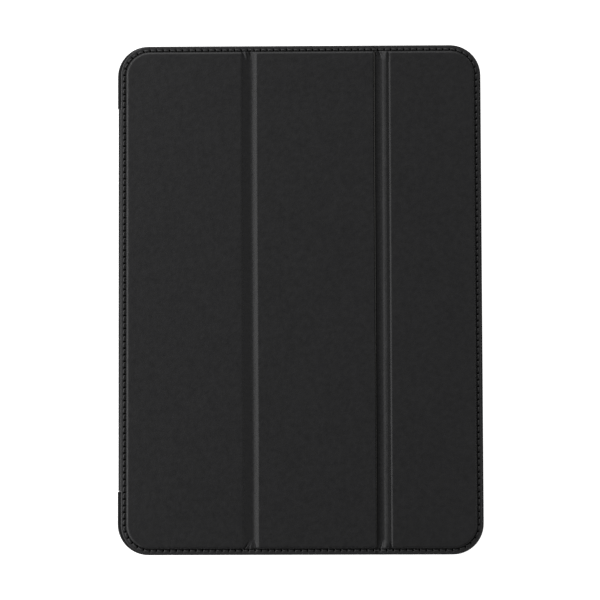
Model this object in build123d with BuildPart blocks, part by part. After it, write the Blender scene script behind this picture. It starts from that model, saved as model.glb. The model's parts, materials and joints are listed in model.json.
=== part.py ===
"""Tri-fold folio case for a tablet, closed and lying on its back.

The row frame, in millimetres: +X points from the spine to the free edge of the cover, +Y to the top
edge of the tablet, +Z out of the cover. The origin is the centre of the case's outline, on its back.
"""

from build123d import *
import math
import os

# ---- Driving dimensions ------------------------------------------------------------------------

# The tablet that the tray holds
tablet_length = 249.7
tablet_width = 177.5
tablet_thickness = 5.3
tablet_corner_radius = 13.3

# Tray: a hard back plate in a soft bumper
side_clearance = 0.15
headroom = 0.2
wall_thickness = 1.85
plate_thickness = 1.6
bay_lining_thickness = 0.4
lip_thickness = 1.0
lip_overhang = 1.3
tongue_depth = 0.8
tongue_thickness = 0.6
bottom_edge_round = 1.5
top_edge_round = 0.6

# Cover: skin over boards over a lining
cover_gap = 0.2
cover_inset = 0.9
cover_inset_at_spine = 1.85
cover_inset_at_ends = 0.3
lining_thickness = 0.5
skin_thickness = 0.8
board_thickness = 1.2
cover_edge_round = 0.45
rim_width = 2.5
bevel_width = 1.0
groove_width = 5.2
fold_gap = 0.05
stand_panel_width = 66.3
free_panel_width = 48.45

# Stitched border
stitch_inset = 1.8
thread_width = 0.5
thread_height = 0.2

# Spine
spine_length = 190.0
spine_end_gap = 0.7
spine_inset = 0.35
spine_skin_thickness = 0.6
spine_lining_thickness = 0.4
spine_skin_clearance = 0.1
spine_shoulder_round = 0.9
spine_play = 0.15
cover_play = 0.1

# Rear flap of the skin, glued into the back
rear_flap_width = 24.0
rear_flap_corner_radius = 6.0

# Hinge lines of the spine, which let the cover lie flat against the back
wrap_clearance = 0.35
hinge_drop = 0.5
hinge_offset = 0.2

# Camera window
camera_window_size = 34.0
camera_window_radius = 9.5
camera_margin = 6.0
surround_wall = 1.2
surround_flange = 1.2
surround_flange_thickness = 0.6

# Openings in the walls
port_width = 16.0
slot_height = 5.0
stylus_opening_length = 50.0
speaker_slot_length = 22.0
speaker_slot_height = 1.8
speaker_slot_offset = 44.0
microphone_hole_radius = 0.8

# Buttons: a pad with a flange behind it, in a window in the wall
button_length = 10.5
button_height = 2.6
button_clearance = 0.2
button_recess = 0.1
button_flange = 0.8
button_flange_thickness = 0.6
power_button_from_corner = 21.0
volume_up_from_corner = 30.0
volume_button_pitch = 13.5

# Magnets, sunk into the boards
magnet_length = 20.0
magnet_width = 6.0
magnet_thickness = 1.0
magnet_pitch = 52.0
magnet_count = 4
magnet_edge_distance = 9.0
wake_magnet_radius = 3.0
wake_magnet_from_top = 52.0

# ---- Places that follow from them --------------------------------------------------------------

bay_half_width = tablet_width / 2 + side_clearance
bay_half_length = tablet_length / 2 + side_clearance
bay_radius = tablet_corner_radius + side_clearance
outer_half_width = bay_half_width + wall_thickness
outer_half_length = bay_half_length + wall_thickness
outer_radius = bay_radius + wall_thickness

floor_z = plate_thickness + bay_lining_thickness
lip_z = floor_z + tablet_thickness + headroom
tray_top = lip_z + lip_thickness
tablet_mid_z = floor_z + tablet_thickness / 2

cover_bottom = tray_top + cover_gap
lining_top = cover_bottom + lining_thickness
rim_top = lining_top + skin_thickness
board_top = lining_top + board_thickness
panel_top = board_top + skin_thickness

cover_left = -outer_half_width + cover_inset_at_spine
cover_right = outer_half_width - cover_inset
cover_half_length = outer_half_length - cover_inset_at_ends
cover_radius = outer_radius - (cover_inset + cover_inset_at_ends) / 2
panel_corner_radius = cover_radius - rim_width
fold_2_x = cover_right - free_panel_width
fold_1_x = fold_2_x - stand_panel_width

spine_outer_x = -outer_half_width + spine_inset
spine_inner_x = -bay_half_width
spine_half_length = spine_length / 2
spine_skin_inner_x = spine_outer_x + spine_skin_thickness
sill_x = spine_skin_inner_x + spine_skin_clearance
spine_top = cover_bottom - cover_play

camera_x = bay_half_width - camera_margin - camera_window_size / 2
camera_y = bay_half_length - camera_margin - camera_window_size / 2
surround_size = camera_window_size + 2 * surround_wall
surround_radius = camera_window_radius + surround_wall
flange_size = surround_size + 2 * surround_flange
flange_radius = surround_radius + surround_flange

spine_hinge_x = spine_outer_x - hinge_offset
spine_hinge_z = -hinge_drop
cover_hinge_x = spine_outer_x
cover_hinge_z = panel_top + wrap_clearance - hinge_offset - hinge_drop
fold_axis_z = panel_top + 0.25


def save(builder, name):
    """Label a finished piece and write its STEP file."""
    builder.part.label = name
    export_step(builder.part, f"parts/{name}.step")


os.makedirs("parts", exist_ok=True)

# ---- Outlines shared by several pieces ---------------------------------------------------------


def rounded_outline(half_width, half_length, radius, inset=0.0):
    """The tray's outline, or one that lies inside it at an even distance."""
    RectangleRounded(2 * (half_width - inset), 2 * (half_length - inset), radius - inset)


def cover_outline(inset=0.0):
    """The cover's outline, which isn't centred because its left edge stands back from the spine."""
    width = cover_right - cover_left
    with Locations(((cover_left + cover_right) / 2, 0)):
        RectangleRounded(width - 2 * inset, 2 * (cover_half_length - inset), cover_radius - inset)


def strip(left, right, mode=Mode.INTERSECT):
    """A strip between two fold lines, longer than the case."""
    with Locations(((left + right) / 2, 0)):
        Rectangle(right - left, 4 * outer_half_length, mode=mode)


def camera_outline(size, radius, mode=Mode.ADD):
    with Locations((camera_x, camera_y)):
        RectangleRounded(size, size, radius, mode=mode)


def rear_flap_outline():
    """The glued flap, from the spine's outer face across the back, rounded at its inner corners."""
    with Locations(((spine_outer_x + rear_flap_right) / 2, 0)):
        rectangle = Rectangle(rear_flap_right - spine_outer_x, spine_length)
    inner_corners = rectangle.vertices().group_by(Axis.X)[-1]
    fillet(inner_corners, radius=rear_flap_corner_radius)


rear_flap_right = spine_outer_x + rear_flap_width
right_wall = Plane(origin=(outer_half_width, 0, 0), x_dir=(0, 1, 0), z_dir=(1, 0, 0))
top_wall = Plane(origin=(0, outer_half_length, 0), x_dir=(-1, 0, 0), z_dir=(0, 1, 0))
bottom_wall = Plane(origin=(0, -outer_half_length, 0), x_dir=(1, 0, 0), z_dir=(0, -1, 0))

# Each button's name, wall, and place along that wall
power_button_x = bay_half_width - power_button_from_corner
volume_up_y = bay_half_length - volume_up_from_corner
volume_down_y = volume_up_y - volume_button_pitch
buttons = [
    ("power_button", top_wall, -power_button_x),
    ("volume_up_button", right_wall, volume_up_y),
    ("volume_down_button", right_wall, volume_down_y),
]

# ---- Tray --------------------------------------------------------------------------------------

# The hard back plate: a tongue round its edge sits in the bumper, and a straight tab fills the
# span under the spine, where the bumper is open.
with BuildPart() as back_plate:
    with BuildSketch(Plane.XY):
        rounded_outline(bay_half_width, bay_half_length, bay_radius)
        with Locations(((sill_x + spine_inner_x) / 2, 0)):
            Rectangle(spine_inner_x - sill_x, spine_length)
    extrude(amount=plate_thickness)
    with BuildSketch(Plane.XY.offset((plate_thickness - tongue_thickness) / 2)):
        rounded_outline(bay_half_width, bay_half_length, bay_radius, inset=-tongue_depth)
        with Locations((-bay_half_width - tongue_depth, 0)):
            Rectangle(2 * tongue_depth, spine_length + 2 * spine_end_gap, mode=Mode.SUBTRACT)
    extrude(amount=tongue_thickness)
    with BuildSketch(Plane.XY):
        rear_flap_outline()
    extrude(amount=spine_skin_thickness, mode=Mode.SUBTRACT)
    with BuildSketch(Plane.XY):
        camera_outline(surround_size, surround_radius)
    extrude(amount=plate_thickness, mode=Mode.SUBTRACT)
    with BuildSketch(Plane.XY):
        camera_outline(flange_size, flange_radius)
    extrude(amount=surround_flange_thickness, mode=Mode.SUBTRACT)
save(back_plate, "back_plate")

# The soft bumper: walls and retaining lips, open on the left where the spine stands.
with BuildPart() as bumper_frame:
    with BuildSketch(Plane.XY):
        rounded_outline(outer_half_width, outer_half_length, outer_radius)
    extrude(amount=tray_top)
    fillet(bumper_frame.edges().group_by(Axis.Z)[0], bottom_edge_round)
    fillet(bumper_frame.edges().group_by(Axis.Z)[-1], top_edge_round)
    with BuildSketch(Plane.XY):
        rounded_outline(bay_half_width, bay_half_length, bay_radius)
    extrude(amount=lip_z, mode=Mode.SUBTRACT)
    with BuildSketch(Plane.XY.offset(lip_z)):
        rounded_outline(bay_half_width, bay_half_length, bay_radius, inset=lip_overhang)
    extrude(amount=lip_thickness, mode=Mode.SUBTRACT)
    with BuildSketch(Plane.XY.offset((plate_thickness - tongue_thickness) / 2)):
        rounded_outline(bay_half_width, bay_half_length, bay_radius, inset=-tongue_depth)
    extrude(amount=tongue_thickness, mode=Mode.SUBTRACT)
    with BuildSketch(Plane.XY):
        with Locations((-outer_half_width, 0)):
            Rectangle(2 * (wall_thickness + lip_overhang), spine_length + 2 * spine_end_gap)
    extrude(amount=tray_top, mode=Mode.SUBTRACT)
    # The charging port, the speakers and the microphone, in the short walls
    with BuildSketch(bottom_wall):
        with Locations((0, tablet_mid_z)):
            SlotOverall(port_width, slot_height)
    extrude(amount=-wall_thickness, mode=Mode.SUBTRACT)
    for wall in (bottom_wall, top_wall):
        with BuildSketch(wall):
            with Locations((-speaker_slot_offset, tablet_mid_z), (speaker_slot_offset, tablet_mid_z)):
                SlotOverall(speaker_slot_length, speaker_slot_height)
        extrude(amount=-wall_thickness, mode=Mode.SUBTRACT)
    with BuildSketch(top_wall):
        with Locations((0, tablet_mid_z)):
            Circle(microphone_hole_radius)
    extrude(amount=-wall_thickness, mode=Mode.SUBTRACT)
    # The side where a stylus rests on the tablet's edge
    with BuildSketch(right_wall):
        with Locations((0, tablet_mid_z)):
            SlotOverall(stylus_opening_length, slot_height)
    extrude(amount=-wall_thickness, mode=Mode.SUBTRACT)
    # A window for each button, with a counterbore on the inside for its flange
    for name, wall, place in buttons:
        with BuildSketch(wall):
            with Locations((place, tablet_mid_z)):
                SlotOverall(button_length + 2 * button_clearance, button_height + 2 * button_clearance)
        extrude(amount=-wall_thickness, mode=Mode.SUBTRACT)
        with BuildSketch(wall.offset(-wall_thickness)):
            with Locations((place, tablet_mid_z)):
                SlotOverall(
                    button_length + 2 * (button_flange + button_clearance),
                    button_height + 2 * (button_flange + button_clearance),
                )
        extrude(amount=button_flange_thickness, mode=Mode.SUBTRACT)
save(bumper_frame, "bumper_frame")

# The soft lining that the tablet's back rests on
with BuildPart() as bay_lining:
    with BuildSketch(Plane.XY.offset(plate_thickness)):
        rounded_outline(bay_half_width, bay_half_length, bay_radius)
        camera_outline(surround_size, surround_radius, mode=Mode.SUBTRACT)
    extrude(amount=bay_lining_thickness)
save(bay_lining, "bay_lining")

# The hard ring that lines the camera window, with its flange flush in the back
with BuildPart() as camera_surround:
    with BuildSketch(Plane.XY):
        camera_outline(surround_size, surround_radius)
    extrude(amount=floor_z)
    with BuildSketch(Plane.XY):
        camera_outline(flange_size, flange_radius)
    extrude(amount=surround_flange_thickness)
    with BuildSketch(Plane.XY):
        camera_outline(camera_window_size, camera_window_radius)
    extrude(amount=floor_z, mode=Mode.SUBTRACT)
save(camera_surround, "camera_surround")

# The end of the skin that is glued to the back
with BuildPart() as rear_skin:
    with BuildSketch(Plane.XY):
        rear_flap_outline()
    extrude(amount=spine_skin_thickness)
save(rear_skin, "rear_skin")

# Each button is a pad in its window, held in by a flange behind the wall
for name, wall, place in buttons:
    with BuildPart() as button:
        with BuildSketch(wall.offset(-button_recess)):
            with Locations((place, tablet_mid_z)):
                SlotOverall(button_length, button_height)
        extrude(amount=button_recess - wall_thickness)
        with BuildSketch(wall.offset(-wall_thickness)):
            with Locations((place, tablet_mid_z)):
                SlotOverall(button_length + 2 * button_flange, button_height + 2 * button_flange)
        extrude(amount=button_flange_thickness)
    save(button, name)

# ---- Spine -------------------------------------------------------------------------------------

# Each layer's name, outer face, inner face and lower end; the skin runs lower, round the tray's side
spine_bottom = floor_z + spine_play
spine_board_inner_x = spine_inner_x - spine_lining_thickness
spine_layers = [
    ("spine_skin", spine_outer_x, spine_skin_inner_x, spine_skin_thickness + spine_play),
    ("spine_board", spine_skin_inner_x, spine_board_inner_x, spine_bottom),
    ("spine_lining", spine_board_inner_x, spine_inner_x, spine_bottom),
]

for name, outer_x, inner_x, bottom in spine_layers:
    with BuildPart() as layer:
        with BuildSketch(Plane.XY.offset(bottom)):
            with Locations(((outer_x + inner_x) / 2, 0)):
                Rectangle(inner_x - outer_x, spine_length)
        extrude(amount=spine_top - bottom)
    save(layer, name)

# ---- Cover panels ------------------------------------------------------------------------------

# Each panel's name, its fold lines or edges, and the raised pad between its rim and grooves
panels = [
    (
        "panel_1",
        (spine_outer_x - 1, fold_1_x - fold_gap),
        (cover_left + rim_width, fold_1_x - groove_width / 2),
    ),
    (
        "panel_2",
        (fold_1_x + fold_gap, fold_2_x - fold_gap),
        (fold_1_x + groove_width / 2, fold_2_x - groove_width / 2),
    ),
    (
        "panel_3",
        (fold_2_x + fold_gap, outer_half_width),
        (fold_2_x + groove_width / 2, cover_right - rim_width),
    ),
]


def raised_outline(left, right, rounded_side, inset=0.0):
    """A panel's raised pad: straight along its grooves, rounded at the case's own corners."""
    half_length = cover_half_length - rim_width - inset
    with Locations(((left + right) / 2, 0)):
        pad = Rectangle(right - left - 2 * inset, 2 * half_length)
    if rounded_side is not None:
        fillet(pad.vertices().group_by(Axis.X)[rounded_side], radius=panel_corner_radius - inset)


rounded_sides = {"panel_1": 0, "panel_2": None, "panel_3": -1}
magnet_rows = {
    "panel_1": ("stand_magnets", cover_left + rim_width + magnet_edge_distance),
    "panel_3": ("closure_magnets", cover_right - rim_width - magnet_edge_distance),
}
wake_magnet_x = (fold_2_x + cover_right) / 2
wake_magnet_y = cover_half_length - wake_magnet_from_top
magnet_bottom = Plane.XY.offset(lining_top)


def magnet_outlines(row_x):
    """A row of block magnets along a panel's edge."""
    with Locations((row_x, 0)):
        with GridLocations(1, magnet_pitch, 1, magnet_count):
            Rectangle(magnet_width, magnet_length)


for name, (left, right), (pad_left, pad_right) in panels:
    side = rounded_sides[name]

    # The skin: a flat rim and groove floors, with the pad raised over the board
    with BuildPart() as skin:
        with BuildSketch(Plane.XY.offset(lining_top)):
            cover_outline()
        extrude(amount=skin_thickness)
        fillet(skin.edges().group_by(Axis.Z)[-1], cover_edge_round)
        with BuildSketch(Plane.XY.offset(lining_top)):
            strip(left, right, mode=Mode.ADD)
        extrude(amount=skin_thickness, mode=Mode.INTERSECT)
        if name == "panel_1":
            # The shoulder that rounds over from the spine
            with BuildSketch(Plane.XZ):
                with Locations(((spine_outer_x + cover_left) / 2 + rim_width / 2, (cover_bottom + rim_top) / 2)):
                    shoulder = Rectangle(cover_left - spine_outer_x + rim_width, rim_top - cover_bottom)
                fillet(shoulder.vertices().group_by(Axis.X)[0].sort_by(Axis.Z)[-1], spine_shoulder_round)
            extrude(amount=spine_half_length, both=True)
            with BuildSketch(Plane.XY.offset(cover_bottom)):
                cover_outline()
            extrude(amount=lining_thickness, mode=Mode.SUBTRACT)
        with BuildSketch(Plane.XY.offset(rim_top)):
            raised_outline(pad_left, pad_right, side)
        bevel_angle = math.degrees(math.atan2(bevel_width, board_thickness))
        extrude(amount=board_thickness, taper=bevel_angle)
        with BuildSketch(Plane.XY.offset(lining_top)):
            raised_outline(pad_left, pad_right, side, inset=bevel_width)
        extrude(amount=board_thickness, mode=Mode.SUBTRACT)
    save(skin, f"{name}_skin")

    # The stiffening board under the pad, with pockets for its magnets
    with BuildPart() as board:
        with BuildSketch(Plane.XY.offset(lining_top)):
            raised_outline(pad_left, pad_right, side, inset=bevel_width)
        extrude(amount=board_thickness)
        if name in magnet_rows:
            with BuildSketch(magnet_bottom):
                magnet_outlines(magnet_rows[name][1])
            extrude(amount=magnet_thickness, mode=Mode.SUBTRACT)
        if name == "panel_3":
            with BuildSketch(magnet_bottom):
                with Locations((wake_magnet_x, wake_magnet_y)):
                    Circle(wake_magnet_radius)
            extrude(amount=magnet_thickness, mode=Mode.SUBTRACT)
    save(board, f"{name}_board")

    # The lining that faces the screen
    with BuildPart() as lining:
        with BuildSketch(Plane.XY.offset(cover_bottom)):
            cover_outline()
            strip(left, right)
        extrude(amount=lining_thickness)
    save(lining, f"{name}_lining")

    # The line of stitches round the rim
    with BuildPart() as stitching:
        with BuildSketch(Plane.XY.offset(rim_top)):
            cover_outline(inset=stitch_inset - thread_width / 2)
            with Locations(((cover_left + cover_right) / 2, 0)):
                RectangleRounded(
                    cover_right - cover_left - 2 * stitch_inset - thread_width,
                    2 * cover_half_length - 2 * stitch_inset - thread_width,
                    cover_radius - stitch_inset - thread_width / 2,
                    mode=Mode.SUBTRACT,
                )
            strip(left, right)
        extrude(amount=thread_height)
    save(stitching, f"{name}_stitching")

# ---- Magnets -----------------------------------------------------------------------------------

for name, row_x in magnet_rows.values():
    with BuildPart() as magnets:
        with BuildSketch(magnet_bottom):
            magnet_outlines(row_x)
        extrude(amount=magnet_thickness)
    save(magnets, name)

with BuildPart() as wake_magnet:
    with BuildSketch(magnet_bottom):
        with Locations((wake_magnet_x, wake_magnet_y)):
            Circle(wake_magnet_radius)
    extrude(amount=magnet_thickness)
save(wake_magnet, "wake_magnet")

print(f"outline {2 * outer_half_width:.2f} x {2 * outer_half_length:.2f} x {panel_top:.2f}")
print(f"spine hinge x {spine_hinge_x:.3f} z {spine_hinge_z:.3f}")
print(f"cover hinge x {cover_hinge_x:.3f} z {cover_hinge_z:.3f}")
print(f"fold 1 x {fold_1_x:.3f}, fold 2 x {fold_2_x:.3f}, both z {fold_axis_z:.3f}")
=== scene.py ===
# %% [markdown]
# # A tri-fold tablet case
# The case is a moulded tray with a folding cover. The cover is a sandwich: a smooth synthetic leather
# skin outside, three stiff boards inside, and a microfibre lining that faces the screen. The boards
# stand up under the skin as three raised pads, the gaps between them are the folds, and a line of
# stitches runs round the rim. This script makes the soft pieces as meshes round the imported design.

# %% Load the frame and read the sizes that everything follows
import json
import math
import random

import bpy
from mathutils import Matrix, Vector

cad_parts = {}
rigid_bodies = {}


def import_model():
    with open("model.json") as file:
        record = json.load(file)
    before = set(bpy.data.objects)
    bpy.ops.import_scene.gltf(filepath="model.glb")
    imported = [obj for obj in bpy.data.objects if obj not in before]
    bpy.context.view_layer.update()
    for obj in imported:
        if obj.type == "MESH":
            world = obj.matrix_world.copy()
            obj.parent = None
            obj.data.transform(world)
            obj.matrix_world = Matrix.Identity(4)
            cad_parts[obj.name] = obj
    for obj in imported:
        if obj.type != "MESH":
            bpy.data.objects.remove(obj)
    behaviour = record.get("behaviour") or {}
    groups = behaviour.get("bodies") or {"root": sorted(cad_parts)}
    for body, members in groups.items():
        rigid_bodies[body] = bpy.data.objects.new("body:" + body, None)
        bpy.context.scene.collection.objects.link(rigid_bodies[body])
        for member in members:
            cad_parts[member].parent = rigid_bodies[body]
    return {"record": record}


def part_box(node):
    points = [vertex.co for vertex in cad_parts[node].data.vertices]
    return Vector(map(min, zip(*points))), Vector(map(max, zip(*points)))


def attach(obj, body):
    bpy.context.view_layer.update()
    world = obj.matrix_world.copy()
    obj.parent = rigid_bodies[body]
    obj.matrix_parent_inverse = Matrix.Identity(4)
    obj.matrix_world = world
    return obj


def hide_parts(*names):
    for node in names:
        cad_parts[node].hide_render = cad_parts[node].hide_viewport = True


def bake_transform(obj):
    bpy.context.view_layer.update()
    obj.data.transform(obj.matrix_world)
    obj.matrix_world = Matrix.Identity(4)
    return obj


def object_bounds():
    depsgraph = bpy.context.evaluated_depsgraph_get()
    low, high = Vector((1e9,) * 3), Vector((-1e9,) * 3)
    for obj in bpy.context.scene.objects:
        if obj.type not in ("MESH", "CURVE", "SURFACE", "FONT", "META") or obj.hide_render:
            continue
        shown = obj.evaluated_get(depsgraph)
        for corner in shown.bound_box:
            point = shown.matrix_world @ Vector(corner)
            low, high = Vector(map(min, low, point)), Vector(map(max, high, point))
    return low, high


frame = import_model()
cad_low, cad_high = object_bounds()

mm = 0.001
skin_2_low, skin_2_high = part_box("panel_2_skin")
lining_1_low, lining_1_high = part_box("panel_1_lining")
spine_low, spine_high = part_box("spine_skin")
spine_lining_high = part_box("spine_lining")[1]
flap_low, flap_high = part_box("rear_skin")

pad_top = skin_2_high.z
rim_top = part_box("panel_1_stitching")[0].z
lining_bottom, lining_top = lining_1_low.z, lining_1_high.z
cover_left, cover_right = lining_1_low.x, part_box("panel_3_skin")[1].x
cover_half_length = skin_2_high.y
fold_x = {"fold_1": skin_2_low.x, "fold_2": skin_2_high.x}
spine_outer, spine_inner = spine_low.x, spine_lining_high.x
spine_half_length = spine_high.y
print("cover", round((cover_right - cover_left) / mm, 2), "x", round(2 * cover_half_length / mm, 2), "mm")
print("folds at", {name: round(x / mm, 2) for name, x in fold_x.items()})

# %% [markdown]
# ## The outline as a road
# Everything along the rim follows one line: the stitches. If that line is written as a function of the
# distance travelled, then the skin's edge, the row of holes, the thread and the foot of each pad are all
# the same line shifted sideways, by a little more or less on each side. The road is a rounded rectangle
# of four straights and four arcs, walked clockwise as seen from above.

# %% The stitch line as a function of distance
corner_radius = 14.7 * mm
inset_left, inset_right, inset_end = 1.6 * mm, 1.8 * mm, 2.3 * mm
side_inset = (inset_left + inset_right) / 2
road_middle = (cover_left + inset_left + cover_right - inset_right) / 2
half_across = (cover_right - cover_left) / 2 - side_inset
half_along = cover_half_length - inset_end
road_radius = corner_radius - side_inset
straight_across = 2 * (half_across - road_radius)
straight_along = 2 * (half_along - road_radius)
quarter_turn = road_radius * math.pi / 2
road_parts = [straight_across, quarter_turn, straight_along, quarter_turn] * 2
road_length = sum(road_parts)
corner_centres = [
    (road_middle + half_across - road_radius, half_along - road_radius),
    (road_middle + half_across - road_radius, road_radius - half_along),
    (road_middle - half_across + road_radius, road_radius - half_along),
    (road_middle - half_across + road_radius, half_along - road_radius),
]


def road(distance):
    """The stitch line's point this far from the left end of the top edge, and its outward direction."""
    distance %= road_length
    for part, length in enumerate(road_parts):
        if distance <= length:
            break
        distance -= length
    side = part // 2
    centre = Vector(corner_centres[side])
    heading = math.pi / 2 - side * math.pi / 2
    if part % 2:
        heading -= distance / road_radius
        outward = Vector((math.cos(heading), math.sin(heading)))
        return centre + outward * road_radius, outward
    outward = Vector((math.cos(heading), math.sin(heading)))
    forward = Vector((outward.y, -outward.x))
    return centre + outward * road_radius - forward * (length - distance), outward


def stitch_inset(outward):
    """How far the stitches are from the cover's edge, which isn't the same on every side."""
    across = (inset_right - inset_left) / 2 * outward.x
    return side_inset + across + (inset_end - side_inset) * abs(outward.y)


def top_road(x):
    """How far along the road the top edge has this x."""
    return x - corner_centres[3][0]


def bottom_road(x):
    """How far along the road the bottom edge has this x."""
    return sum(road_parts[:4]) + corner_centres[1][0] - x


stitch_count = round(road_length / (3.25 * mm))
stitch_pitch = road_length / stitch_count
print("stitches:", stitch_count, "at a pitch of", round(stitch_pitch / mm, 3), "mm")

# %% [markdown]
# ## A few tools for meshes
# Most pieces here are grids: rows of points that run along the road or across a fold, joined by quads.
# One helper turns points into an object, and one joins such rows. Faces are shaded smooth, and a corner
# sharper than 40 degrees stays crisp.

# %% Mesh helpers
def piece(name, points, faces, material, sharp_degrees=40):
    """A mesh object from points and faces."""
    mesh = bpy.data.meshes.new(name)
    mesh.from_pydata([tuple(point) for point in points], [], faces)
    mesh.validate()
    mesh.shade_smooth()
    mesh.set_sharp_from_angle(angle=math.radians(sharp_degrees))
    mesh.materials.append(material)
    made = bpy.data.objects.new(name, mesh)
    bpy.context.collection.objects.link(made)
    return made


def grid_faces(rows, columns, first=0, flip=False):
    """Quads between rows of equal length, whose points are stored row after row."""
    faces = []
    for row in range(rows - 1):
        for column in range(columns - 1):
            a = first + row * columns + column
            quad = (a, a + 1, a + columns + 1, a + columns)
            faces.append(quad[::-1] if flip else quad)
    return faces


def smooth_step(value, low, high):
    """0 below low, 1 above high, and an even S between them."""
    t = min(max((value - low) / (high - low), 0.0), 1.0)
    return t * t * (3 - 2 * t)


def even(start, end, step):
    """Evenly spaced values from start to end, at most a step apart."""
    count = max(1, math.ceil(abs(end - start) / step - 1e-9))
    return [start + (end - start) * i / count for i in range(count + 1)]


# %% [markdown]
# ## Shader maths as plain Python
# A shader network is easier to read as an expression than as a list of links. This small class wraps a
# socket, so that `1 - mask * 0.5` adds the Math nodes by itself. Every other kind of node comes from one
# method, which sets the node's own settings first and then its inputs.

# %% Sockets that can be added and multiplied
class Wire:
    """One output of a shader node."""

    def __init__(self, shader, socket):
        self.shader, self.socket = shader, socket

    def math(self, operation, *values):
        return self.shader.add("ShaderNodeMath", {"operation": operation}, *values)

    def __add__(self, other):
        return self.math("ADD", self, other)

    def __radd__(self, other):
        return self.math("ADD", other, self)

    def __sub__(self, other):
        return self.math("SUBTRACT", self, other)

    def __rsub__(self, other):
        return self.math("SUBTRACT", other, self)

    def __mul__(self, other):
        return self.math("MULTIPLY", self, other)

    def __rmul__(self, other):
        return self.math("MULTIPLY", other, self)


class Shader:
    """A material's node tree, with its Principled node ready."""

    def __init__(self, name):
        self.material = bpy.data.materials.new(name)
        self.material.use_nodes = True
        self.tree = self.material.node_tree
        self.surface = self.tree.nodes["Principled BSDF"]
        self.place = self.add("ShaderNodeTexCoord", {}, output="Object")

    def add(self, kind, settings, *values, output=None, **named):
        """A node of this kind: its settings, then its inputs by order or by name."""
        node = self.tree.nodes.new(kind)
        for setting, value in settings.items():
            setattr(node, setting, value)
        for index, value in enumerate(values):
            self.feed(node.inputs[index], value)
        for key, value in named.items():
            self.feed(node.inputs[key.replace("_", " ")], value)
        return Wire(self, node.outputs[output] if output else node.outputs[0])

    def feed(self, socket, value):
        """Link a wire to a socket, or set the socket's own value."""
        if isinstance(value, Wire):
            self.tree.links.new(value.socket, socket)
        else:
            socket.default_value = value

    def axes(self):
        """The three coordinates of the place."""
        apart = self.add("ShaderNodeSeparateXYZ", {}, self.place)
        return [Wire(self, socket) for socket in apart.socket.node.outputs]

    def ramp(self, value, low, high):
        """0 below low, 1 above high, and a smooth climb between them."""
        return self.add(
            "ShaderNodeMapRange", {"interpolation_type": "SMOOTHSTEP"},
            Value=value, From_Min=low, From_Max=high,
        )

    def absolute(self, value):
        """The value without its sign."""
        return self.add("ShaderNodeMath", {"operation": "ABSOLUTE"}, value)

    def greater(self, first, second):
        """The greater of two values."""
        return self.add("ShaderNodeMath", {"operation": "MAXIMUM"}, first, second)

    def noise(self, size, detail=2.0, roughness=0.5):
        """Soft noise whose blobs are about this size across."""
        return self.add(
            "ShaderNodeTexNoise", {}, output="Fac", Vector=self.place, Scale=0.5 / size,
            Detail=detail, Roughness=roughness,
        )

    def cells(self, size):
        """Distance to the nearest of a scatter of points, about this size apart."""
        return self.add(
            "ShaderNodeTexVoronoi", {"feature": "F1"}, output="Distance",
            Vector=self.place, Scale=1 / size,
        )

    def between(self, factor, first, second):
        """A colour between two, by a factor. Each is three numbers or a colour from another node."""
        mix = self.tree.nodes.new("ShaderNodeMix")
        mix.data_type = "RGBA"
        self.feed(mix.inputs[0], factor)
        for socket, colour in ((mix.inputs[6], first), (mix.inputs[7], second)):
            self.feed(socket, colour if isinstance(colour, Wire) else (*colour, 1))
        return Wire(self, mix.outputs[2])

    def bump(self, height, distance, under=None):
        """Relief of this height in metres, over another relief if there is one."""
        node = self.add("ShaderNodeBump", {}, Strength=1.0, Distance=distance, Height=height)
        if under is not None:
            self.feed(node.socket.node.inputs["Normal"], under)
        return node

    def finish(self, **inputs):
        """Set the Principled node's inputs and give the material."""
        for key, value in inputs.items():
            self.feed(self.surface.inputs[key.replace("_", " ")], value)
        return self.material


# %% [markdown]
# ## The skin's finish
# The skin is polyurethane leather, pressed with a very fine grain and then matted. Four scales matter:
# a shallow waviness some centimetres long where the sheet doesn't lie quite flat, clouds of a few
# millimetres, a mottle of about one, and the grain itself, under half a millimetre across. The waves and
# the grain feed only the relief, the clouds feed only the colour, and the mottle feeds both and the gloss.
#
# The pressed rim is painted a little lighter, a painted sheen. The creases, the needle holes, the tuck at
# the second groove and the roll over the spine get painted shade: they are darker by their place, which
# deepens a shading that the small shapes alone don't give.

# %% Skin
# Painted shade: how far the creases and holes, the tuck and the spine's outer side are darkened towards a
# near-black colour
crease_shade_paint, tuck_shade_paint, roll_shade_paint = 0.88, 0.7, 0.5
tuck_x = fold_x["fold_2"] - 3.75 * mm
painted_shade_colour, dark_skin, light_skin = (0.0015,) * 3, (0.0110, 0.0110, 0.0118), (0.0300, 0.0300, 0.0310)


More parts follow.
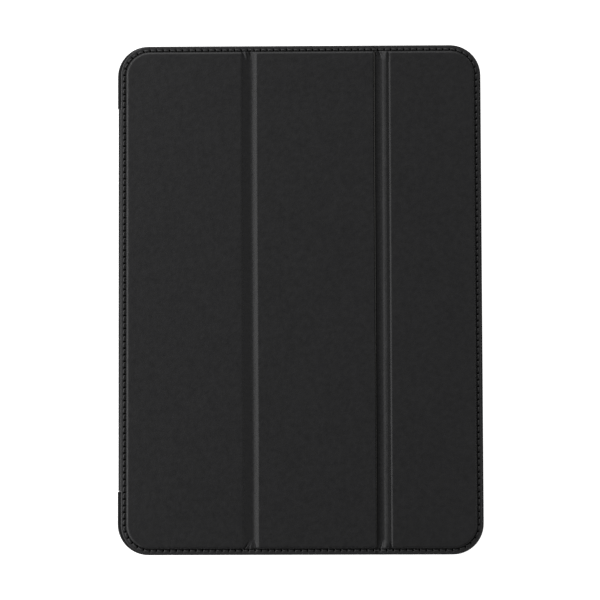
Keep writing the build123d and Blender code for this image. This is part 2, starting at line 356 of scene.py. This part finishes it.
def skin_finish():
    shader = Shader("smooth matte skin")
    waves = shader.noise(45 * mm, detail=1.0)
    clouds = shader.noise(7 * mm, detail=2.0)
    mottle = shader.noise(1.3 * mm, detail=3.0, roughness=0.7)
    grain = shader.cells(0.42 * mm)
    pores = shader.noise(0.25 * mm, detail=1.0)
    along_x, along_y, height = shader.axes()

    # The border is where the stitches are, and in it the low places are the flat rim and what is sunk. The
    # low places get a painted sheen, and what is sunk gets painted shade and a rougher surface.
    from_middle = shader.absolute(along_x - road_middle)
    beyond_x = shader.ramp(from_middle, half_across - 5 * mm, half_across - 4 * mm)
    beyond_y = shader.ramp(shader.absolute(along_y), half_along - 5 * mm, half_along - 4 * mm)
    border = shader.greater(beyond_x, beyond_y)
    gloss_and_painted_sheen = border * (1 - shader.ramp(height, rim_top + 0.1 * mm, rim_top + 0.4 * mm))
    sunk_rough_and_painted_shade = border * (1 - shader.ramp(height, rim_top - 0.4 * mm, rim_top - 0.08 * mm))

    # Painted shade on the roll over the spine's outer edge, and on the tuck at the side of the second
    # groove
    roll_painted_shade = 1 - shader.ramp(along_x, spine_outer + 0.75 * mm, spine_outer + 1.15 * mm)
    painted_shade = shader.greater(sunk_rough_and_painted_shade * crease_shade_paint, roll_painted_shade * roll_shade_paint)
    # Painted shade along the steep drop beside the second groove
    beside_tuck = shader.absolute(along_x - tuck_x)
    tuck_painted_shade = (1 - shader.ramp(beside_tuck, 0.5 * mm, 0.9 * mm)) * (
        1 - shader.ramp(height, pad_top - 0.3 * mm, pad_top - 0.05 * mm)
    )
    painted_shade = shader.greater(painted_shade, tuck_painted_shade * tuck_shade_paint)

    # The rim's lighter colour is a painted sheen; the same mask also lowers its roughness
    lightness = mottle * 0.9 + clouds * 0.2 - 0.15 + gloss_and_painted_sheen * 0.8
    sheet = shader.between(lightness, dark_skin, light_skin)
    relief = shader.bump(waves, 0.5 * mm)
    relief = shader.bump(mottle, 0.13 * mm, under=relief)
    relief = shader.bump(grain * 0.6 + pores * 0.5, 0.03 * mm, under=relief)
    # The base colour mixes towards near black where the painted shade mask is high: painted shade in
    # creases, holes, the tuck and on the spine's outer side
    return shader.finish(
        Base_Color=shader.between(painted_shade, sheet, painted_shade_colour),
        Roughness=0.50 + mottle * 0.16 - gloss_and_painted_sheen * 0.08 + sunk_rough_and_painted_shade * 0.35,
        Normal=relief,
        Specular_IOR_Level=0.42,
    )


skin = skin_finish()

# %% [markdown]
# ## The other finishes
# Each one is the same recipe with its own scales: the soft bumper is smooth and a little glossier, the
# hard back plate has the fine even texture of a spark-eroded mould, the lining is a short brushed nap,
# and the thread is waxed and twisted. Sheen is a number for the whole surface, so it goes straight on
# the shader's own socket.

# %% Bumper, plate, lining, thread and the hidden pieces
def bumper_finish():
    shader = Shader("soft moulded bumper")
    haze = shader.noise(6 * mm, detail=3.0)
    skin_of_mould = shader.noise(0.18 * mm, detail=1.0)
    return shader.finish(
        Base_Color=shader.between(haze, (0.010, 0.010, 0.0105), (0.014, 0.014, 0.0145)),
        Roughness=0.42 + haze * 0.14,
        Normal=shader.bump(skin_of_mould, 0.012 * mm, under=shader.bump(haze, 0.05 * mm)),
        Specular_IOR_Level=0.45,
    )


def plate_finish():
    shader = Shader("fine textured plate")
    pits = shader.cells(0.33 * mm)
    wear = shader.noise(18 * mm, detail=4.0)
    return shader.finish(
        Base_Color=shader.between(wear, (0.013, 0.013, 0.014), (0.018, 0.018, 0.019)),
        Roughness=0.50 + pits * 0.12 + wear * 0.08,
        Normal=shader.bump(pits, 0.04 * mm),
    )


def lining_finish():
    shader = Shader("brushed microfibre")
    nap = shader.noise(0.35 * mm, detail=4.0, roughness=0.7)
    strokes = shader.noise(14 * mm, detail=2.0)
    return shader.finish(
        Base_Color=shader.between(0.6 * nap + 0.4 * strokes, (0.022, 0.022, 0.023), (0.060, 0.060, 0.062)),
        Roughness=0.90 + nap * 0.08,
        Normal=shader.bump(nap, 0.16 * mm),
        Sheen_Weight=0.35,
        Sheen_Roughness=0.5,
        Specular_IOR_Level=0.15,
    )


def thread_finish():
    shader = Shader("waxed thread")
    fibres = shader.noise(0.12 * mm, detail=2.0)
    return shader.finish(
        Base_Color=shader.between(fibres, (0.038, 0.038, 0.039), (0.080, 0.080, 0.081)),
        Roughness=0.45 + fibres * 0.2,
        Normal=shader.bump(fibres, 0.05 * mm),
    )


def board_finish():
    shader = Shader("grey fibreboard")
    fibres = shader.noise(0.8 * mm, detail=5.0, roughness=0.7)
    return shader.finish(
        Base_Color=shader.between(fibres, (0.08, 0.078, 0.075), (0.14, 0.137, 0.132)),
        Roughness=0.85 + fibres * 0.1,
        Normal=shader.bump(fibres, 0.08 * mm),
    )


def magnet_finish():
    shader = Shader("plated magnet")
    scuffs = shader.noise(0.9 * mm, detail=4.0)
    return shader.finish(
        Base_Color=shader.between(scuffs, (0.48, 0.48, 0.49), (0.60, 0.60, 0.61)),
        Roughness=0.22 + scuffs * 0.2,
        Metallic=1.0,
    )


bumper, plate, lining = bumper_finish(), plate_finish(), lining_finish()
thread, board, magnet = thread_finish(), board_finish(), magnet_finish()

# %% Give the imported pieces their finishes
finish_of_slot = {
    "skin": skin, "soft_bumper": bumper, "hard_plastic": plate, "microfibre": lining,
    "thread": thread, "board": board, "magnet": magnet,
}
for subpart in frame["record"]["subparts"]:
    node = bpy.data.objects[subpart["node"]]
    for material_slot in node.material_slots:
        material_slot.material = finish_of_slot[subpart["material_slot"]]

# %% [markdown]
# ## The rim
# The skin turns down at the cover's edge, runs almost flat for two or three millimetres, dips into a
# crease where the stitches pull it tight against the pad, and climbs the pad. Its section is drawn once,
# with the stitches 1.8 mm in. Hand-fed sewing isn't that even, so `placed` shifts the section to where
# the stitches and the crease are on each side. The needle holes are dimples in the mesh, because they are
# as large as the thread, and the stations along the road bunch up round each of them.

# %% The rim's section and its needle holes
edge_round = 0.5 * mm
rim_width = 2.6 * mm
drawn_stitch = 1.8 * mm
foot_crease = 2.3 * mm
crease_left, crease_right, crease_end = 2.4 * mm, 2.05 * mm, 2.65 * mm
crease_depth = 0.34 * mm
hole_depth = 1.05 * mm
hole_radius = 0.42 * mm


def between_knots(knots, value):
    """The second number of a list of pairs at a value of the first, by straight lines."""
    for (x0, y0), (x1, y1) in zip(knots, knots[1:]):
        if value <= x1:
            break
    return y0 + (y1 - y0) * (value - x0) / (x1 - x0)


def inset_knots(outward):
    """Pairs of a drawn inset and the real one on this side of the cover."""
    side = crease_left if outward.x < 0 else crease_right
    crease = side * outward.x**2 + crease_end * outward.y**2
    return [
        (0.0, 0.0), (edge_round, edge_round), (drawn_stitch, stitch_inset(outward)), (foot_crease, crease),
        (foot_crease + 8 * mm, crease + 8 * mm),
    ]


def placed(inset, outward):
    """Where a drawn inset really is, from the cover's edge."""
    return between_knots(inset_knots(outward), inset)


def drawn(inset, outward):
    """The drawn inset of a real one."""
    return between_knots([(b, a) for a, b in inset_knots(outward)], inset)


def rim_height(inset, distance):
    """The rim's height at this drawn inset, this far along the road."""
    if inset < edge_round:
        drop = edge_round - math.sqrt(max(edge_round**2 - (edge_round - inset) ** 2, 0))
        return rim_top - drop
    to_hole = (distance / stitch_pitch - round(distance / stitch_pitch)) * stitch_pitch
    hole = math.exp(-((math.hypot(1.2 * to_hole, 0.85 * (inset - drawn_stitch)) / hole_radius) ** 2))
    pulled_down = math.exp(-(((inset - foot_crease) / (0.24 * mm)) ** 2))
    swell = math.exp(-(((inset - 1.1 * mm) / (0.5 * mm)) ** 2))
    return rim_top + 0.05 * mm * swell - crease_depth * pulled_down - hole_depth * hole


flat_insets = [0.7, 0.95, 1.2, 1.35, 1.48, 1.59, 1.69, 1.8, 1.91, 2.01, 2.1, 2.2, 2.3, 2.4, 2.5, 2.58]
rim_insets = [edge_round * (1 - math.cos(a)) for a in even(0, math.pi / 2, math.pi / 10)]
rim_insets += [inset * mm for inset in flat_insets]


def stations(start, end):
    """Distances along the road from start to end, close together round each hole."""
    near = [0, 0.16, 0.34, 0.56, 0.9]
    around = sorted({sign * offset * mm for offset in near for sign in (-1, 1)} | {stitch_pitch / 2})
    found = {start, end}
    for hole in range(math.floor(start / stitch_pitch) - 1, math.ceil(end / stitch_pitch) + 1):
        found |= {hole * stitch_pitch + offset for offset in around}
    return sorted(d for d in found if start <= d <= end)


def beside_spine(outward, y):
    """1 where the skin goes on over the shoulder to the spine, and 0 where the cover's edge is free."""
    return (1 - smooth_step(abs(y), spine_half_length - 0.1 * mm, spine_half_length)) * (outward.x < -0.999)


def rim_rows(start, end):
    """Rows of points along the road: down the edge, over it, and in to the pad's foot."""
    rows = []
    for distance in stations(start, end):
        at, outward = road(distance)
        row = []
        hidden = beside_spine(outward, at.y)
        for inset, z in ((0.9 * mm, lining_top), (0.06 * mm, lining_top), (0.0, lining_top + 0.08 * mm)):
            spot = at + outward * (stitch_inset(outward) - inset)
            row.append((spot.x, spot.y, z))
        for inset in rim_insets:
            spot = at + outward * (stitch_inset(outward) - placed(inset, outward))
            sink = 0.4 * mm * hidden * (1 - smooth_step(inset, 0.85 * mm, 1.2 * mm))
            row.append((spot.x, spot.y, rim_height(inset, distance) - sink))
        rows.append(row)
    return rows


# %% [markdown]
# ## The folds
# Between two pads the skin dips to about the rim's level and bends. Skin that has been folded never lies
# flat again: the first groove has a long slope on the spine's side, and the second has a steep drop there
# and a soft ridge on its free side. Near the rim, where the stitches hold it, the skin puckers into short
# creases. Each groove is a height over x and y, on a grid fine enough for the creases to be real relief.

# %% The shape of a groove
bevel_width = 1.45 * mm
end_side = Vector((0, 1))
strip_half_width = 5.2 * mm
strip_edges = {
    name: (x - strip_half_width, x + strip_half_width) for name, x in fold_x.items()
}
pad_height = pad_top - rim_top


def pad_share(inset):
    """How much of the pad's height the skin has climbed at a drawn inset: steep first, then rounded off."""
    t = min(max((inset - rim_width + 0.08 * mm) / bevel_width, 0), 1)
    return (1 - (1 - t) ** 2.4) * smooth_step(t, -0.02, 0.14)


# Each groove's section: offsets from the fold line and heights above the rim, in millimetres
sections = {
    "fold_1": [
        (-4.9, 1.2), (-4.2, 1.2), (-3.5, 1.12), (-3.0, 0.9), (-2.5, 0.8), (-1.0, 0.42), (0.2, 0.12),
        (0.9, 0.04), (1.6, 0.1), (2.2, 0.3), (2.9, 0.6), (3.5, 0.9), (4.15, 1.21), (4.4, 1.2), (4.95, 1.2),
    ],
    "fold_2": [
        (-5.6, 1.2), (-4.25, 1.2), (-4.1, 1.14), (-3.85, 0.0), (-3.6, -0.22), (-3.2, -0.05), (-2.2, 0.05),
        (-1.0, 0.1), (0.0, 0.28), (1.1, 0.78), (2.1, 1.06), (2.6, 0.94), (2.9, 0.74), (3.2, 0.62),
        (3.6, 0.76), (4.1, 1.12), (4.4, 1.2), (5.0, 1.2),
    ],
}
fold_slant = {"fold_1": 0.45 * mm, "fold_2": 0.3 * mm}


def along_section(points, x):
    """The height of a drawn section at x, by straight lines from point to point."""
    for (x0, z0), (x1, z1) in zip(points, points[1:]):
        if x <= x1:
            break
    t = min(max((x - x0) / (x1 - x0), 0.0), 1.0)
    return z0 + (z1 - z0) * t


def softened(points, x, reach=0.18):
    """A section with its corners rounded, by averaging it over a short reach."""
    spots = [x + reach * i / 3 for i in range(-3, 4)]
    weights = [1, 2, 3, 4, 3, 2, 1]
    return sum(w * along_section(points, s) for w, s in zip(weights, spots)) / sum(weights)


# Creases at the groove ends: x at the rim and at the tail (mm from the fold), length, width and height
creases = {
    ("fold_1", 1): [
        (-2.2, -0.3, 6.0, 0.5, 0.55), (-3.5, -1.7, 5.5, 0.35, -0.45), (0.1, 0.9, 4.5, 0.5, -0.45),
    ],
    ("fold_1", -1): [(-3.1, 0.3, 5.0, 0.4, -0.65), (0.3, 1.4, 5.5, 0.8, 0.6), (3.3, 2.2, 5.0, 0.4, -0.3)],
    ("fold_2", 1): [(-3.2, -0.8, 5.5, 0.5, 0.6), (-1.8, 0.3, 5.0, 0.4, -0.45), (2.3, 2.3, 6.5, 1.0, 0.35)],
    ("fold_2", -1): [(0.6, 1.0, 5.5, 1.4, 0.55), (3.5, 2.6, 5.0, 0.4, -0.4), (-2.2, -0.4, 5.0, 0.4, -0.45)],
}


def crease_height(name, x, y):
    """The creases of the nearer groove end, in metres."""
    total = 0.0
    depth = cover_half_length - rim_width - abs(y)
    for x_rim, x_tail, length, width, height in creases[name, 1 if y > 0 else -1]:
        t = depth / (length * mm)
        if t > 1:
            continue
        middle = x_rim + (x_tail - x_rim) * max(t, 0)
        across = math.exp(-(((x / mm - middle) / width) ** 2))
        total += height * mm * across * (1 - smooth_step(t, 0.25, 1)) * smooth_step(t, -0.28, 0.12)
    return total


def strip_height(name, x, y):
    """The skin's height in a groove and on the rim at its ends."""
    inset = drawn(cover_half_length - abs(y), end_side)
    distance = top_road(x + fold_x[name]) if y > 0 else bottom_road(x + fold_x[name])
    rim = rim_height(inset, distance)
    if inset < 0.9 * rim_width:
        return rim
    slant = min(max(y / cover_half_length, -0.5), 0.5) * fold_slant[name] / mm
    if name == "fold_2":
        slant *= 1 - smooth_step(x, -3.5 * mm, -1 * mm)
    along = x / mm + slant
    section = softened(sections[name], along) * mm
    wobble = 0.04 * mm * math.sin(y / (7.3 * mm) + x / (3 * mm)) * math.exp(-((x / (2.2 * mm)) ** 2))
    return rim + (section + wobble) * pad_share(inset) + crease_height(name, x, y)


pad_insets = [rim_width + step * mm for step in (0.05, 0.14, 0.24, 0.36, 0.5, 0.66, 0.84, 1.04, 1.3, 1.7)]


def pad_edge_height(inset, distance):
    """The height of a pad's own edge, which matches the end of each groove strip."""
    return rim_height(inset, distance) + pad_height * pad_share(inset)


# %% [markdown]
# ## Skin pieces
# Each panel is one mesh: the rim's rows of points carry on up the pad's bevel, and the flat top closes
# them with a single face. Each fold is a grid of its own, whose edges lie along the panels' edges.

# %% The three panels
def panel_skin(name, runs):
    """One panel's skin, from the stretches of road that bound it."""
    points, faces, inner_loop = [], [], []
    for start, end in runs:
        rows = []
        for row, distance in zip(rim_rows(start, end), stations(start, end)):
            at, outward = road(distance)
            for inset in pad_insets:
                spot = at + outward * (stitch_inset(outward) - placed(inset, outward))
                row.append((spot.x, spot.y, pad_edge_height(inset, distance)))
            rows.append(row)
        first, width = len(points), len(rows[0])
        points += [point for row in rows for point in row]
        faces += grid_faces(len(rows), width, first)
        inner_loop += [first + i * width + width - 1 for i in range(len(rows))]
    faces.append(tuple(inner_loop[::-1]))
    return piece(name, points, faces, skin)


left_1, right_1 = strip_edges["fold_1"]
left_2, right_2 = strip_edges["fold_2"]
panel_runs = {
    "panel_1": [(bottom_road(left_1), road_length + top_road(left_1))],
    "panel_2": [(top_road(right_1), top_road(left_2)), (bottom_road(left_2), bottom_road(right_1))],
    "panel_3": [(top_road(right_2), bottom_road(right_2))],
}
for name, runs in panel_runs.items():
    made = panel_skin(f"{name}_outer_skin", runs)
    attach(made, name)
    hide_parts(f"{name}_skin")
    print(made.name, len(made.data.polygons), "faces")


# %% The two folds
def fold_rows():
    """The y of every row of a fold strip: the rim's own levels at each end, closer where it creases."""
    ends = [cover_half_length - placed(inset, end_side) for inset in rim_insets + pad_insets]
    crease_rows = even(ends[-1], ends[-1] - 6 * mm, 0.35 * mm)[1:]
    half = ends + crease_rows
    middle = even(half[-1], -half[-1], 2.0 * mm)[1:-1]
    return half, middle


def fold_skin(name):
    """The skin across a fold, with its edges turned down at both ends."""
    half, middle = fold_rows()
    columns = even(-strip_half_width, strip_half_width, 0.19 * mm)
    rows = []
    ys = half + middle + [-y for y in half[::-1]]
    for x in columns:
        row = [(fold_x[name] + x, cover_half_length - 0.9 * mm, lining_top),
               (fold_x[name] + x, cover_half_length - 0.06 * mm, lining_top),
               (fold_x[name] + x, cover_half_length, lining_top + 0.08 * mm)]
        row += [(fold_x[name] + x, y, strip_height(name, x, y)) for y in ys]
        row += [(px, -py, pz) for px, py, pz in row[2::-1]]
        rows.append(row)
    points = [point for row in rows for point in row]
    return piece(f"{name}_skin", points, grid_faces(len(rows), len(rows[0])), skin)


fold_bodies = {"fold_1": ("panel_1", "panel_2"), "fold_2": ("panel_2", "panel_3")}


def bend_at(made):
    """Bake the piece's transform into its mesh. A bend that starts too early would sag into the tray."""
    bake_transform(made)


for name in fold_bodies:
    made = fold_skin(name)
    bend_at(made)
    print(made.name, len(made.data.polygons), "faces")

# %% [markdown]
# ## The stitches
# A lockstitch shows as short lengths of thread that dive into a hole at each end, all leaning the same
# way because the thread is twisted. One stitch is a bent tube with pinched ends; the whole row is that
# tube repeated along the road. The bobbin thread makes the same row on the lining inside.

# %% One stitch, and the rows of them
thread_radius = 0.24 * mm
stitch_sides = 8
random.seed(7)


def stitch(points, faces, start, outer):
    """Add the stitch that starts at this distance along the road, on the skin or on the lining."""
    lean = (0.10 + 0.04 * random.random()) * mm * (1 if outer else -1)
    lift = 1 if outer else -1
    surface = rim_top if outer else lining_bottom
    stretch = even(0.12 * stitch_pitch, 0.88 * stitch_pitch, stitch_pitch / 10)
    first = len(points)
    for step in stretch:
        t = step / stitch_pitch
        at, outward = road(start + step)
        forward = Vector((outward.y, -outward.x))
        arch = math.sin(math.pi * (t - 0.12) / 0.76)
        radius = thread_radius * (0.55 + 0.45 * math.sqrt(max(arch, 0)))
        middle = at + outward * (lean * math.cos(math.pi * t) * 1.6 + 0.32 * mm * arch)
        height = surface + lift * (0.34 * math.sqrt(max(arch, 0)) - 0.30) * mm
        twist = Vector((outward.x, outward.y, 0))
        for side in range(stitch_sides):
            angle = 2 * math.pi * side / stitch_sides
            spot = Vector((middle.x, middle.y, height))
            spot += twist * (radius * math.cos(angle)) + Vector((0, 0, radius * math.sin(angle)))
            points.append(spot)
    rings = len(stretch)
    for ring in range(rings - 1):
        for side in range(stitch_sides):
            a = first + ring * stitch_sides + side
            b = first + ring * stitch_sides + (side + 1) % stitch_sides
            faces.append((b, a, a + stitch_sides, b + stitch_sides))
    faces.append(tuple(range(first, first + stitch_sides)))
    last = first + (rings - 1) * stitch_sides
    faces.append(tuple(range(last + stitch_sides - 1, last - 1, -1)))


def thread_piece(name, runs):
    """Every stitch whose middle lies on these stretches of road."""
    points, faces = [], []
    for start, end in runs:
        for hole in range(math.floor(start / stitch_pitch) - 1, math.ceil(end / stitch_pitch) + 1):
            if start <= (hole + 0.5) * stitch_pitch < end:
                stitch(points, faces, hole * stitch_pitch, outer=True)
                stitch(points, faces, hole * stitch_pitch, outer=False)
    return piece(name, points, faces, thread, sharp_degrees=60)


for name, runs in panel_runs.items():
    made = thread_piece(f"{name}_thread", runs)
    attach(made, name)
    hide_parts(f"{name}_stitching")
for name, (left, right) in strip_edges.items():
    runs = [(top_road(left), top_road(right)), (bottom_road(right), bottom_road(left))]
    made = thread_piece(f"{name}_thread", runs)
    bend_at(made)
print("thread rows made")

# %% [markdown]
# ## The lining
# The microfibre is glued flat to the boards and to the skin in the folds, where it sinks a little. Its
# cut edge shows as a second thin layer under the skin's edge.

# %% The lining of the panels and of the folds
lining_sections = [(1.4, 0.5), (0.16, 0.5), (0.12, 0.42), (0.12, 0.12), (0.18, 0.03), (0.34, 0.0)]
fold_recess = 0.22 * mm


def lining_panel(name, runs):
    points, faces, inner_loop = [], [], []
    for start, end in runs:
        rows = []
        for distance in even(start, end, 1.5 * mm):
            at, outward = road(distance)
            row = []
            for inset, height in lining_sections:
                spot = at + outward * (stitch_inset(outward) - inset * mm)
                row.append((spot.x, spot.y, lining_bottom + height * mm))
            rows.append(row)
        first, width = len(points), len(rows[0])
        points += [point for row in rows for point in row]
        faces += grid_faces(len(rows), width, first, flip=True)
        inner_loop += [first + i * width + width - 1 for i in range(len(rows))]
    faces.append(tuple(inner_loop))
    return piece(f"{name}_microfibre", points, faces, lining)


def lining_fold(name):
    rows = []
    middle_rows = even(cover_half_length - 2 * mm, 2 * mm - cover_half_length, 8 * mm)
    for x in even(-strip_half_width, strip_half_width, 0.3 * mm):
        dip = fold_recess * math.exp(-((x / (1.6 * mm)) ** 2))
        end = [
            (cover_half_length - inset * mm, lining_bottom + height * mm)
            for inset, height in lining_sections
        ]
        row = [(fold_x[name] + x, y, z + (dip if z < lining_bottom + 0.2 * mm else 0)) for y, z in end]
        row += [(fold_x[name] + x, y, lining_bottom + dip) for y in middle_rows]
        row += [(px, -py, pz) for px, py, pz in row[len(end) - 1::-1]]
        rows.append(row)
    points = [point for row in rows for point in row]
    return piece(f"{name}_microfibre", points, grid_faces(len(rows), len(rows[0]), flip=True), lining)


for name, runs in panel_runs.items():
    made = lining_panel(name, runs)
    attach(made, name)
    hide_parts(f"{name}_lining")
for name in fold_bodies:
    made = lining_fold(name)
    bend_at(made)
print("lining laid")

# %% [markdown]
# ## The spine
# The skin leaves the cover over a rounded shoulder, goes down the tray's open side, turns under it and is
# glued to the back. That is one strip drawn as a section and extruded, with real thickness. It crosses
# two hinge lines, so it is two pieces that meet halfway down, where nothing bends.

# %% A strip with thickness from a drawn section
def ribbon(name, section, thickness, half_length, material, ends=None, steps=24):
    """Sweep a section in x and z along y. The other face lies a thickness to the section's left."""
    count = len(section)
    normals = []
    for i in range(count):
        before, after = Vector(section[max(i - 1, 0)]), Vector(section[min(i + 1, count - 1)])
        along = (after - before).normalized()
        normals.append(Vector((-along.y, along.x)))
    points, faces = [], []
    for step in range(steps + 1):
        share = 2 * step / steps - 1
        for side in (0, thickness):
            for (x, z), normal in zip(section, normals):
                length = ends(x) if ends else half_length
                spot = Vector((x, z)) + normal * side
                points.append((spot.x, share * length, spot.y))
    ring = 2 * count
    loop = list(range(count)) + list(range(2 * count - 1, count - 1, -1))
    for step in range(steps):
        for a, b in zip(loop, loop[1:] + loop[:1]):
            faces.append((step * ring + b, step * ring + a, (step + 1) * ring + a, (step + 1) * ring + b))
    for a in range(count - 1):
        faces.append((a, a + 1, count + a + 1, count + a))
        b = steps * ring + a
        faces.append((b + 1, b, b + count, b + count + 1))
    return piece(name, points, faces, material)


def arc(centre, radius, start_degrees, end_degrees, steps=8):
    """Points of an arc in x and z."""
    return [
        (centre[0] + radius * math.cos(math.radians(a)), centre[1] + radius * math.sin(math.radians(a)))
        for a in even(start_degrees, end_degrees, abs(end_degrees - start_degrees) / steps)
    ]


def line(start, end, step=0.3 * mm):
    """Points of a straight line in x and z."""
    count = len(even(0, (Vector(end) - Vector(start)).length, step)) - 1
    return [tuple(Vector(start).lerp(Vector(end), i / count)) for i in range(count + 1)]


def joined(*stretches):
    """Stretches of a section in one list, without the points that two of them share."""
    section = list(stretches[0])
    for stretch in stretches[1:]:
        section += stretch[1:]
    return section


# %% The spine's skin, from the cover to the back
shoulder_radius = 2.2 * mm
foot_radius = 0.55 * mm
spine_skin_thickness = 0.6 * mm
shoulder_thickness = 0.55 * mm
split_z = (cad_low.z + rim_top) / 2
shoulder_end = cover_left + 1.1 * mm

shoulder = joined(
    line((shoulder_end, rim_top), (spine_outer + shoulder_radius, rim_top)),
    arc((spine_outer + shoulder_radius, rim_top - shoulder_radius), shoulder_radius, 90, 180),
    line((spine_outer, rim_top - shoulder_radius), (spine_outer, split_z)),
)
upper = ribbon("spine_shoulder_skin", shoulder, shoulder_thickness, spine_half_length, skin)
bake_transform(upper)
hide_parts("spine_skin")

flap_radius = 6 * mm


def flap_half_length(x):
    """The glued flap's half length, which shrinks round its two inner corners."""
    into_corner = x - (flap_high.x - flap_radius)
    if into_corner <= 0:
        return spine_half_length
    return spine_half_length - flap_radius + math.sqrt(max(flap_radius**2 - into_corner**2, 0))


flap_back = flap_low.z
foot = joined(
    line((spine_outer, split_z), (spine_outer, flap_back + foot_radius)),
    arc((spine_outer + foot_radius, flap_back + foot_radius), foot_radius, 180, 270),
    line((spine_outer + foot_radius, flap_back), (flap_high.x - flap_radius, flap_back), 1.5 * mm),
    [
        (flap_high.x - flap_radius + flap_radius * math.sin(angle), flap_back)
        for angle in even(0, math.pi / 2, 0.13)
    ],
)
lower = ribbon(
    "spine_foot_skin", foot, spine_skin_thickness, spine_half_length, skin, ends=flap_half_length
)
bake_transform(lower)
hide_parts("rear_skin")

# %% [markdown]
# Inside, the lining makes the same journey: down from the cover, along the spine and on to the floor of
# the bay. Its two bends are where a gap would open as the cover swings, so each has its own strip.

# %% The spine's lining
spine_lining_thickness = 0.4 * mm
bay_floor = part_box("bay_lining")[1].z
inner_upper = joined(
    line((spine_inner, split_z), (spine_inner, lining_bottom - 0.5 * mm)),
    arc((spine_inner + 0.5 * mm, lining_bottom - 0.5 * mm), 0.5 * mm, 180, 90, steps=5),
    line((spine_inner + 0.5 * mm, lining_bottom), (spine_inner + 3.2 * mm, lining_bottom)),
)
inner_lower = joined(
    line((spine_inner + 3.0 * mm, bay_floor), (spine_inner + 0.5 * mm, bay_floor)),
    arc((spine_inner + 0.5 * mm, bay_floor + 0.5 * mm), 0.5 * mm, 270, 180, steps=5),
    line((spine_inner, bay_floor + 0.5 * mm), (spine_inner, split_z)),
)
lining_half_length = spine_half_length - 0.2 * mm
upper_lining = ribbon(
    "spine_upper_microfibre", inner_upper, spine_lining_thickness, lining_half_length, lining
)
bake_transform(upper_lining)
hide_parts("spine_lining")
lower_lining = ribbon(
    "spine_lower_microfibre", inner_lower, spine_lining_thickness, lining_half_length, lining
)
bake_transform(lower_lining)
print("spine made")

# %% [markdown]
# ## Floor, light and camera
# The case lies on white paper under large soft lamps. The left lamp stands low, so that the matte skin
# shows its relief and doesn't mirror it. It is stronger than the right one, which is why the bevels that
# face it are bright and the opposite ones dark.

# %% Floor
def floor_finish():
    shader = Shader("white paper")
    fibres = shader.noise(0.6 * mm, detail=3.0)
    below = shader.add("ShaderNodeNewGeometry", {}, output="Backfacing")
    seen = shader.add("ShaderNodeLightPath", {}, output="Is Camera Ray")
    return shader.finish(
        Base_Color=shader.between(fibres, (0.86, 0.86, 0.86), (0.90, 0.90, 0.90)),
        Roughness=0.9 + fibres * 0.05,
        Emission_Color=shader.between(seen, (0.35, 0.35, 0.35), (1, 1, 1)),
        Emission_Strength=1.0,
        Alpha=1 - below,
    )


floor_half = 8
floor_z = cad_low.z - 0.02 * mm
paper = floor_finish()
paper.cycles.emission_sampling = "NONE"
floor = piece(
    "floor",
    [(-floor_half, -floor_half, floor_z), (floor_half, -floor_half, floor_z),
     (floor_half, floor_half, floor_z), (-floor_half, floor_half, floor_z)],
    [(0, 1, 2, 3)],
    paper,
)


# %% Lamps
def lamp(name, place, width, height, power):
    """A soft rectangular lamp that points at the case."""
    light = bpy.data.lights.new(name, "AREA")
    light.shape = "RECTANGLE"
    light.size, light.size_y, light.energy = width, height, power
    made = bpy.data.objects.new(name, light)
    made.location = place
    made.rotation_mode = "QUATERNION"
    made.rotation_quaternion = (-Vector(place)).to_track_quat("-Z", "Y")
    bpy.context.collection.objects.link(made)


lamp("left_lamp", (-0.72, 0.0, 0.27), 1.3, 0.3, 6.9)
lamp("top_lamp", (-0.6, 2.6, 1.05), 1.4, 0.8, 44)
lamp("right_lamp", (1.0, -0.2, 0.85), 0.8, 0.8, 3.2)
world = bpy.data.worlds.new("soft grey room")
world.use_nodes = True
world.node_tree.nodes["Background"].inputs["Color"].default_value = (1, 1, 1, 1)
world.node_tree.nodes["Background"].inputs["Strength"].default_value = 0.035
bpy.context.scene.world = world
bpy.context.scene.view_settings.view_transform = "Standard"

# %% Camera
# It looks almost straight down, from a little on the near side and to the right.
distance = 0.8325
lean_near, lean_right, roll = math.radians(2.15), math.radians(0.6), math.radians(-0.2)
look_at = Vector((0.0, -0.0005, (cad_low.z + cad_high.z) / 2))
camera_data = bpy.data.cameras.new("camera")
camera_data.lens = 100
camera_data.sensor_width = 36
camera = bpy.data.objects.new("camera", camera_data)
camera.location = look_at + distance * Vector((math.sin(lean_right), -math.sin(lean_near), 1)).normalized()
camera.rotation_euler = (lean_near, lean_right, roll)
bpy.context.collection.objects.link(camera)
bpy.context.scene.camera = camera
